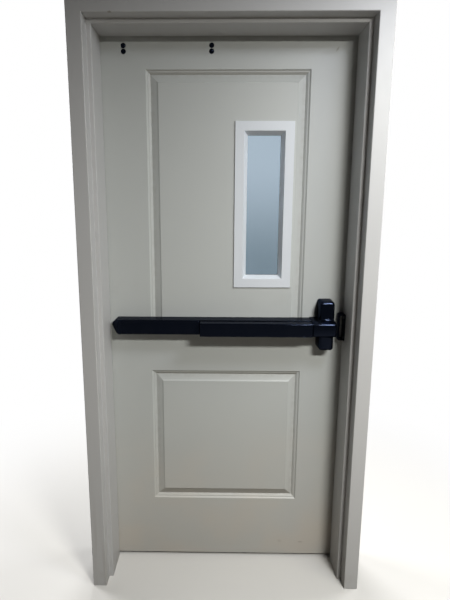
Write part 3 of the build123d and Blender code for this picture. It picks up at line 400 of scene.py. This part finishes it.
tapeLook = {"name": "sealTape", "base": (0.02, 0.02, 0.021)}
bufferLook = {"name": "bufferRubber", "base": (0.16, 0.16, 0.155)}
bloomLook = {
    "scale": 95.0, "between": (0.45, 0.8), "amount": 0.5, "pale": (1.6, 0.01), "rough": (0.78, 0.2),
    "height": 0.0001, "strength": 0.4,
}
boardLook = {
    "shades": ((0.60, 0.57, 0.50), (0.68, 0.66, 0.60)), "scale": 7.0, "rough": 0.9,
    "grit": {
        "colour": (0.50, 0.47, 0.41), "scale": 240.0, "between": (0.35, 0.75), "height": 0.0006,
        "strength": 0.7},
}
paneLook = {
    # clear is the tint at the top, and deep is the painted shade at the foot
    "clear": (0.405, 0.50, 0.585), "deep": (0.19, 0.255, 0.305), "heights": (1.20, 1.62), "rough": 0.02,
    "haze": {
        "stretch": (26.0, 26.0, 7.0), "between": (0.45, 0.8), "amount": 0.10, "dark": 0.8, "rough": 0.04},
}


def rubber(look):
    # black or grey, with the pale bloom of old rubber
    f = Finish(look["name"])
    bloom = f.noise(bloomLook["scale"], 3.0)
    shown = f.step(bloom, *bloomLook["between"]) * bloomLook["amount"]
    share, added = bloomLook["pale"]
    rough, uneven = bloomLook["rough"]
    return f.close(
        Base_Color=f.mix(shown, look["base"], [part * share + added for part in look["base"]]),
        Roughness=rough + (bloom - 0.5) * uneven,
        Normal=f.bump(bloom, bloomLook["height"], bloomLook["strength"]))


def mineralBoard(look):
    f = Finish("mineralBoard")
    gritty = look["grit"]
    grit = f.noise(gritty["scale"], 5.0, roughness=0.7)
    shade = f.mix(f.noise(look["scale"], 3.0), *look["shades"])
    return f.close(
        Base_Color=f.mix(f.step(grit, *gritty["between"]), shade, gritty["colour"]),
        Roughness=look["rough"], Normal=f.bump(grit, gritty["height"], gritty["strength"]))


def firePane(look):
    # a blue-grey tint, partly the glass's own and partly painted shade, with more painted shade towards its
    # foot, and a haze of old cleaning marks
    f = Finish("firePane")
    hazy = look["haze"]
    haze = f.step(f.noise(1.0, 3.0, f.stretched(hazy["stretch"])), *hazy["between"])
    # painted shade: the tint deepens from clear at the top to deep at the foot
    tintAndShade = f.mix(f.step(f.z, *look["heights"]), look["deep"], look["clear"])
    colour = f.mix(haze * hazy["amount"], tintAndShade, darker(look["clear"], hazy["dark"]))
    rough = look["rough"] + haze * hazy["rough"]
    return f.close(Base_Color=colour, Roughness=rough, Transmission_Weight=1.0, IOR=1.46)


finishes = {
    "frame_paint": framePaint(frameLook),
    "door_paint": doorPaint(doorLook),
    "lite_paint": litePaint(liteLook),
    "dark_metal": darkCoating(coatLook),
    "plated_steel": platedSteel(platedLook),
    "primed_steel": primedSteel(primedLook),
    "cast_body": castIron(castLook),
    "seal_tape": rubber(tapeLook),
    "buffer_rubber": rubber(bufferLook),
    "mineral_core": mineralBoard(boardLook),
    "lite_pane": firePane(paneLook),
}
slotOf = {part["node"]: part["material_slot"] for part in frame["record"]["subparts"]}
for name, obj in nodes.items():
    obj.data.materials.clear()
    obj.data.materials.append(finishes[slotOf[name]])
print("finishes on the CAD pieces:", len(finishes))


# modelling steps that the pieces share

def alone(obj):
    bpy.ops.object.select_all(action="DESELECT")
    obj.select_set(True)
    bpy.context.view_layer.objects.active = obj


def pickParts(obj, kind, test):
    # leaves the piece in edit mode with only the faces or edges that pass the test selected
    bpy.ops.object.mode_set(mode="EDIT")
    bpy.ops.mesh.select_mode(type=kind)
    bpy.ops.mesh.select_all(action="DESELECT")
    bpy.ops.object.mode_set(mode="OBJECT")
    for part in obj.data.polygons if kind == "FACE" else obj.data.edges:
        part.select = test(part)
    bpy.ops.object.mode_set(mode="EDIT")


def pickFaces(obj, test):
    pickParts(obj, "FACE", test)


def pickEdges(obj, test):
    # the test is given the edge's two ends
    pickParts(obj, "EDGE", lambda edge: test(*(obj.data.vertices[end].co for end in edge.vertices)))


def applyPlace():
    # moves the selected objects' place, turn and size into their meshes
    bpy.ops.object.transform_apply(location=True, rotation=True, scale=True)


def addBlock(spans):
    # a cube drawn out to its low and high end on each axis
    bpy.ops.object.select_all(action="DESELECT")
    bpy.ops.mesh.primitive_cube_add(size=1.0, location=[(low + high) / 2 for low, high in spans])
    bpy.ops.transform.resize(value=[high - low for low, high in spans])
    applyPlace()
    return bpy.context.object


def meld(obj, other, operation):
    cut = obj.modifiers.new("meld", "BOOLEAN")
    cut.operation, cut.solver, cut.object = operation, "EXACT", other
    alone(obj)
    bpy.ops.object.modifier_apply(modifier=cut.name)
    bpy.data.objects.remove(other)


def dress(piece, finish, node, body):
    # gives the piece its finish, hides the CAD node it stands for, and hangs it on the body it rides on
    piece.data.materials.clear()
    piece.data.materials.append(finishes[finish])
    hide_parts(node)
    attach(piece, body)


# screws, in millimetres, each kind modelled once with its cross recess and thread and copied to its places;
# shank and head are radii, edge is the head's rounding, plain is the length with no thread, and armWidth,
# arm and depth are the recess's

flushScrew = {
    "form": "flush", "shank": 2.75, "head": 5.5, "headHeight": 3.0, "length": 8.0, "edge": 0.16, "rounds": 2,
    "plain": 3.4, "armWidth": 0.95, "arm": 2.7, "depth": 2.0, "pitch": 0.9,
}
hingeScrewRows = [  # how deep each row lies, and its screws' levels
    (46.7, (212.9, 267.7, 1010.9, 1065.7, 1808.9, 1863.7)),
    (63.7, (240.3, 295.1, 1038.3, 1093.1, 1836.3, 1891.1))]
hingeFrameLook = {
    **flushScrew, "node": "hinge_frame_screws", "body": "frame", "toward": (1, 0, 0),
    "places": [(-457.2, y, z) for y, levels in hingeScrewRows for z in levels],
}
hingeDoorLook = {
    **flushScrew, "node": "hinge_door_screws", "body": "door", "toward": (-1, 0, 0),
    "places": [(-454.0, y, z) for y, levels in hingeScrewRows for z in levels],
}
liteScrewLook = {
    "form": "flush", "shank": 2.0, "head": 3.8, "headHeight": 1.5, "length": 53.7, "edge": 0.12, "rounds": 2,
    "plain": 32.0, "armWidth": 0.7, "arm": 1.9, "depth": 1.4, "pitch": 0.8,
    "node": "lite_screws", "body": "door", "toward": (0, 1, 0),
    "places": [(x, 81.3, z) for x in (50.5, 212.5) for z in (1195.0, 1361.15, 1524.85, 1690.95)],
}
strikeScrewLook = {
    **flushScrew, "headHeight": 2.6, "length": 9.0, "plain": 3.0,
    "node": "strike_screws", "body": "frame", "toward": (-1, 0, 0),
    "places": [(438.3, 0.2, z) for z in (961.2, 1038.8)],
}
shoeScrewLook = {
    "form": "domed", "shank": 3.2, "head": 6.4, "headHeight": 3.0, "length": 15.3, "edge": 1.6, "rounds": 5,
    "plain": 7.0, "armWidth": 1.15, "arm": 3.2, "depth": 1.9, "pitch": 1.0,
    "node": "closer_shoe_screws", "body": "frame", "toward": (0, 1, 0),
    "places": [(x, 86.3, 2066.9) for x in (-211.4, -159.8)],
}
screwLooks = {
    "hingeFrameScrews": hingeFrameLook, "hingeDoorScrews": hingeDoorLook, "windowScrews": liteScrewLook,
    "strikeScrews": strikeScrewLook, "shoeScrews": shoeScrewLook,
}
# tip is a share of the core's radius, ridge of the pitch, and taper of the recess's width; turns in degrees
screwForm = {
    "sides": 40, "tip": 0.35, "ridge": 0.42, "taper": 0.42, "steps": 20, "smooth": 32,
    "firstTurn": 37.0, "nextTurn": 137.5,
}


def addCrossPunch(look):
    # the four-armed point of a driver, tapered towards its end
    half, depth = look["armWidth"] / 2, look["depth"]
    punch = addBlock([(-half, half), (-half, half), (-depth, depth)])
    pickFaces(punch, lambda face: abs(face.normal.z) < 0.5)
    bpy.ops.mesh.extrude_faces_move(TRANSFORM_OT_shrink_fatten={"value": look["arm"] - half})
    pickFaces(punch, lambda face: face.normal.z < -0.5)
    bpy.ops.transform.resize(value=(screwForm["taper"], screwForm["taper"], 1.0))
    bpy.ops.object.mode_set(mode="OBJECT")
    return punch


def addThread(look):
    # one ridge wound along the shank from its tip, closed at both ends
    ridge = look["pitch"] * screwForm["ridge"]
    turns = int((look["length"] - look["plain"]) / look["pitch"]) - 1
    bpy.ops.object.select_all(action="DESELECT")
    bpy.ops.mesh.primitive_circle_add(
        vertices=3, radius=ridge, fill_type="NOTHING", rotation=(math.pi / 2, math.pi / 2, 0.0),
        location=(look["shank"] - ridge, 0.0, 1.2 * look["pitch"] - look["length"]))
    thread = bpy.context.object
    applyPlace()
    wind = thread.modifiers.new("wind", "SCREW")
    wind.axis, wind.angle, wind.screw_offset = "Z", math.tau, look["pitch"]
    wind.iterations, wind.steps, wind.render_steps = turns, screwForm["steps"], screwForm["steps"]
    bpy.ops.object.modifier_apply(modifier=wind.name)
    bpy.ops.object.mode_set(mode="EDIT")
    bpy.ops.mesh.select_mode(type="EDGE")
    bpy.ops.mesh.select_all(action="DESELECT")
    bpy.ops.mesh.select_non_manifold(extend=False)
    bpy.ops.mesh.edge_face_add()
    bpy.ops.mesh.select_all(action="SELECT")
    bpy.ops.mesh.normals_make_consistent(inside=False)
    bpy.ops.object.mode_set(mode="OBJECT")
    return thread


def widen(share):
    bpy.ops.transform.resize(value=(share, share, 1.0))


def crossScrew(name, look):
    # its head's face lies at height 0 and its tip below
    core = look["shank"] - look["pitch"] / 2
    under = -look["headHeight"]
    rise = {"value": (0.0, 0.0, look["headHeight"])}
    bpy.ops.object.select_all(action="DESELECT")
    bpy.ops.mesh.primitive_cylinder_add(
        vertices=screwForm["sides"], radius=core, depth=look["length"] + under,
        location=(0.0, 0.0, (under - look["length"]) / 2))
    screw = bpy.context.object
    screw.name = name
    applyPlace()
    pickFaces(screw, lambda face: face.normal.z < -0.9)
    bpy.ops.mesh.bevel(offset=core * screwForm["tip"], segments=2, affect="EDGES")
    pickFaces(screw, lambda face: face.normal.z > 0.9)
    if look["form"] == "flush":
        widen(look["shank"] / core)
        bpy.ops.mesh.extrude_region_move(TRANSFORM_OT_translate=rise)
        widen(look["head"] / look["shank"])
    else:
        bpy.ops.mesh.extrude_region()
        widen(look["head"] / core)
        bpy.ops.mesh.extrude_region_move(TRANSFORM_OT_translate=rise)
    bpy.ops.mesh.bevel(offset=look["edge"], segments=look["rounds"], affect="EDGES")
    bpy.ops.object.mode_set(mode="OBJECT")
    meld(screw, addCrossPunch(look), "DIFFERENCE")
    thread = addThread(look)
    alone(screw)
    thread.select_set(True)
    bpy.ops.object.join()
    bpy.ops.object.shade_smooth_by_angle(angle=math.radians(screwForm["smooth"]))
    return screw


def screwSet(name, look):
    # one screw of the kind, copied to every place and joined to one piece
    first = crossScrew(name, look)
    copies = [first]
    while len(copies) < len(look["places"]):
        alone(first)
        bpy.ops.object.duplicate(linked=False)
        copies.append(bpy.context.object)
    facing = Vector(look["toward"]).to_track_quat("Z", "Y").to_matrix().to_4x4()
    for number, (copy, where) in enumerate(zip(copies, look["places"])):
        turn = Matrix.Rotation(math.radians(screwForm["firstTurn"] + number * screwForm["nextTurn"]), 4, "Z")
        copy.matrix_world = Matrix.Translation(Vector(where) * mm) @ facing @ turn @ Matrix.Scale(mm, 4)
    alone(first)
    for copy in copies:
        copy.select_set(True)
    applyPlace()
    bpy.ops.object.join()
    dress(first, "plated_steel", look["node"], look["body"])
    print(name, "placed,", len(copies), "screws,", len(first.data.polygons), "faces")


for name, look in screwLooks.items():
    screwSet(name, look)


# the latch head's moulded cover, in millimetres, with softer edges than its plain solid has

coverLook = {
    "middle": 370.0, "width": 56.0, "level": 1010.5, "height": 187.0, "depth": 62.0, "lean": 3.0,
    "corner": 11.0, "soft": 9.0, "wall": 2.5, "cove": 6.0, "smooth": 28,
    "band": {"level": 1003.0, "high": 30.05, "slope": 72.0, "depth": 92.0, "low": 23.0, "soft": 5.5},
    "rail": {"depth": 56.3, "high": 27.55},
    "latch": {"level": 1000.0, "high": 23.0, "near": 13.0, "deep": 41.0},
}


def around(middle, half):
    return middle - half, middle + half


def tallShell(look, inset, back):
    # the upright part: its sides lean in towards a front with rounded corners and edges
    half, tall = look["width"] / 2 - inset, look["height"] / 2 - inset
    front = pushFace / mm - look["depth"] + inset
    block = addBlock([around(look["middle"], half), (front, back), around(look["level"], tall)])
    pickFaces(block, lambda face: face.normal.y < -0.9)
    narrow, low = (1 - look["lean"] / look[side] for side in ("width", "height"))
    bpy.ops.transform.resize(value=(narrow, 1.0, low))
    pickEdges(block, lambda a, b: abs(a.y - b.y) > 1.0)
    bpy.ops.mesh.bevel(offset=look["corner"] - inset, segments=8, affect="EDGES")
    pickFaces(block, lambda face: face.normal.y < -0.9)
    bpy.ops.mesh.bevel(offset=look["soft"] - 2 * inset, segments=6, affect="EDGES")
    bpy.ops.object.mode_set(mode="OBJECT")
    return block


def bandShell(band, across, inset, back):
    # the deeper part across the middle, with its sloped shoulders
    face = pushFace / mm
    high, low = band["high"] - inset, band["low"] - inset
    shoulder, front = face - band["slope"] + inset, face - band["depth"] + inset
    block = addBlock([across, (shoulder, back), around(band["level"], high)])
    pickFaces(block, lambda face: face.normal.y < -0.9)
    bpy.ops.mesh.extrude_region_move(TRANSFORM_OT_translate={"value": (0.0, front - shoulder, 0.0)})
    bpy.ops.transform.resize(value=(1.0, 1.0, low / high))
    pickEdges(block, lambda a, b: min(a.y, b.y) < shoulder + 0.01 and not a.y == b.y == back)
    bpy.ops.mesh.bevel(offset=band["soft"] - 1.4 * inset, segments=5, affect="EDGES")
    bpy.ops.object.mode_set(mode="OBJECT")
    return block


def latchHeadCover(look):
    face, wall, band, rail, latch = pushFace / mm, look["wall"], look["band"], look["rail"], look["latch"]
    left, right = ((corner / mm).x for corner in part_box("device_head_cover"))
    cover = tallShell(look, 0.0, face)
    cover.name = "latchHeadCover"
    meld(cover, bandShell(band, (left, right), 0.0, face), "UNION")
    # hollow, and open to the door, the rail and the latch
    hollow = tallShell(look, wall, face + 1.0)
    meld(hollow, bandShell(band, (left + wall, right - wall), wall, face + 1.3), "UNION")
    meld(cover, hollow, "DIFFERENCE")
    railMouth = addBlock([
        (left - 1.0, left + wall + 1.0), (face - rail["depth"], face + 1.0),
        around(band["level"], rail["high"])])
    meld(cover, railMouth, "DIFFERENCE")
    latchMouth = addBlock([
        (right - 12.0, right + 5.0), (face - latch["deep"], face - latch["near"]),
        around(latch["level"], latch["high"])])
    meld(cover, latchMouth, "DIFFERENCE")
    # a cove where the band meets the upright part's front
    front = face - look["depth"]
    pickEdges(cover, lambda *ends: all(
        abs(abs(end.z - band["level"]) - band["high"]) < 0.05 and abs(end.y - front) < 0.5 for end in ends))
    bpy.ops.mesh.bevel(offset=look["cove"], segments=5, affect="EDGES")
    bpy.ops.mesh.select_all(action="SELECT")
    bpy.ops.mesh.remove_doubles(threshold=0.02)
    bpy.ops.object.mode_set(mode="OBJECT")
    alone(cover)
    bpy.ops.transform.resize(value=(mm, mm, mm), center_override=(0.0, 0.0, 0.0))
    applyPlace()
    bpy.ops.object.shade_smooth_by_angle(angle=math.radians(look["smooth"]))
    dress(cover, "dark_metal", "device_head_cover", "door")
    print("latch head cover placed,", len(cover.data.polygons), "faces")


latchHeadCover(coverLook)


# stage: a floor that is pale to the eye, with a darker bounce, and fades to white away from the door

stageLook = {
    "pale": (0.66, 0.65, 0.63), "bounce": (0.20, 0.185, 0.165), "half": 9.0, "fade": (0.7, 1.9),
    "cloud": {"scale": 1.3, "amount": 0.2, "dark": 0.95},
}
mirrorShare = 0.10  # how much of the white background glossy surfaces see


def stageFinish(look):
    f = Finish("paleFloor")
    shown = f.shownRays(mirrorShare)
    fade = f.step((f.x * f.x + f.y * f.y) ** 0.5, *look["fade"]) * shown
    cloud = look["cloud"]
    patches = f.noise(cloud["scale"], 2.0) * cloud["amount"]
    pale = f.mix(patches, look["pale"], darker(look["pale"], cloud["dark"]))
    matt = f.node("ShaderNodeBsdfDiffuse", {}, {"Color": f.mix(shown, look["bounce"], pale)})
    white = f.node("ShaderNodeEmission", {}, {})
    blend = f.node("ShaderNodeMixShader", {}, {0: fade, 1: matt, 2: white})
    f.node("ShaderNodeOutputMaterial", {}, {"Surface": blend})
    return f.owner


def addStage(look):
    bpy.ops.object.select_all(action="DESELECT")
    bpy.ops.mesh.primitive_plane_add(size=2 * look["half"], location=(0, 0, 0))
    floor = bpy.context.object
    floor.name = "stageFloor"
    floor.data.materials.append(stageFinish(look))


# light: a dim world that shows white to the camera, and area lamps fitted to the photo's tones

worldLook = {"level": 0.008, "colour": (1.0, 1.0, 1.0)}
lampLooks = {
    "ceilingPanel": {
        "where": (0.9, -1.9, 2.25), "aim": (0.9, -1.85, 0.0), "size": (0.6, 0.28), "watts": 68.0,
        "colour": (1.0, 0.985, 0.925)},
    "doorPanel": {
        "where": (0.8, -0.9, 2.3), "aim": (0.8, -0.85, 0.0), "size": (0.4, 0.4), "watts": 13.5,
        "colour": (0.85, 0.89, 1.0)},
    "sidePanel": {
        "where": (1.1, -0.7, 2.3), "aim": (1.1, -0.65, 0.0), "size": (0.4, 0.4), "watts": 8.5,
        "colour": (1.0, 0.97, 0.82)},
    "backPanel": {
        "where": (-0.3, 2.0, 2.6), "aim": (-0.1, 1.2, 0.0), "size": (1.2, 1.2), "watts": 70.0,
        "colour": (1.0, 1.0, 1.0)},
    "leftFill": {
        "where": (-2.6, 1.3, 2.2), "aim": (-0.3, 0.4, 0.9), "size": (1.2, 1.2), "watts": 60.0,
        "colour": (1.0, 1.0, 1.0)},
    "rightFill": {
        "where": (2.8, 0.9, 2.2), "aim": (0.4, 0.3, 0.9), "size": (1.2, 1.2), "watts": 40.0,
        "colour": (1.0, 1.0, 1.0)},
}


def addWorld(look):
    world = bpy.data.worlds.new("plainRoom")
    bpy.context.scene.world = world
    room = Shading(world)
    strength = look["level"] + room.shownRays(mirrorShare) * (1.0 - look["level"])
    back = room.node("ShaderNodeBackground", {}, {"Color": look["colour"], "Strength": strength})
    room.node("ShaderNodeOutputWorld", {}, {"Surface": back})


def addLamp(name, look):
    bpy.ops.object.select_all(action="DESELECT")
    bpy.ops.object.light_add(type="AREA", location=look["where"])
    lamp = bpy.context.object
    lamp.name = name
    lamp.rotation_euler = (Vector(look["aim"]) - Vector(look["where"])).to_track_quat("-Z", "Y").to_euler()
    lamp.data.shape = "RECTANGLE"
    lamp.data.size, lamp.data.size_y = look["size"]
    lamp.data.energy = look["watts"]
    lamp.data.color = look["colour"]


# camera: where the photo was taken from, in metres and degrees, with its focal length and centre in pixels

cameraLook = {
    "stand": (-0.031, pushFace - 1.756, 1.451), "yaw": -0.87, "pitch": -10.81, "roll": 0.12,
    "focalPx": 473.0, "centrePx": (211.2, 294.9), "widthPx": 450, "heightPx": 600, "clip": (0.01, 60.0),
}


def addCamera(look):
    bpy.ops.object.select_all(action="DESELECT")
    bpy.ops.object.camera_add(location=look["stand"])
    camera = bpy.context.object
    turn = Matrix.Rotation(math.radians(-look["yaw"]), 4, "Z")
    tilt = Matrix.Rotation(math.radians(90 + look["pitch"]), 4, "X")
    roll = Matrix.Rotation(math.radians(look["roll"]), 4, "Z")
    camera.matrix_world = Matrix.Translation(look["stand"]) @ turn @ tilt @ roll
    data = camera.data
    data.lens = look["focalPx"] / look["heightPx"] * data.sensor_width
    data.shift_x = (look["widthPx"] / 2 - look["centrePx"][0]) / look["heightPx"]
    data.shift_y = (look["centrePx"][1] - look["heightPx"] / 2) / look["heightPx"]
    data.clip_start, data.clip_end = look["clip"]
    bpy.context.scene.camera = camera


addStage(stageLook)
addWorld(worldLook)
for name, look in lampLooks.items():
    addLamp(name, look)
addCamera(cameraLook)
bpy.context.scene.view_settings.view_transform = "Standard"
print("stage, lights and camera placed")
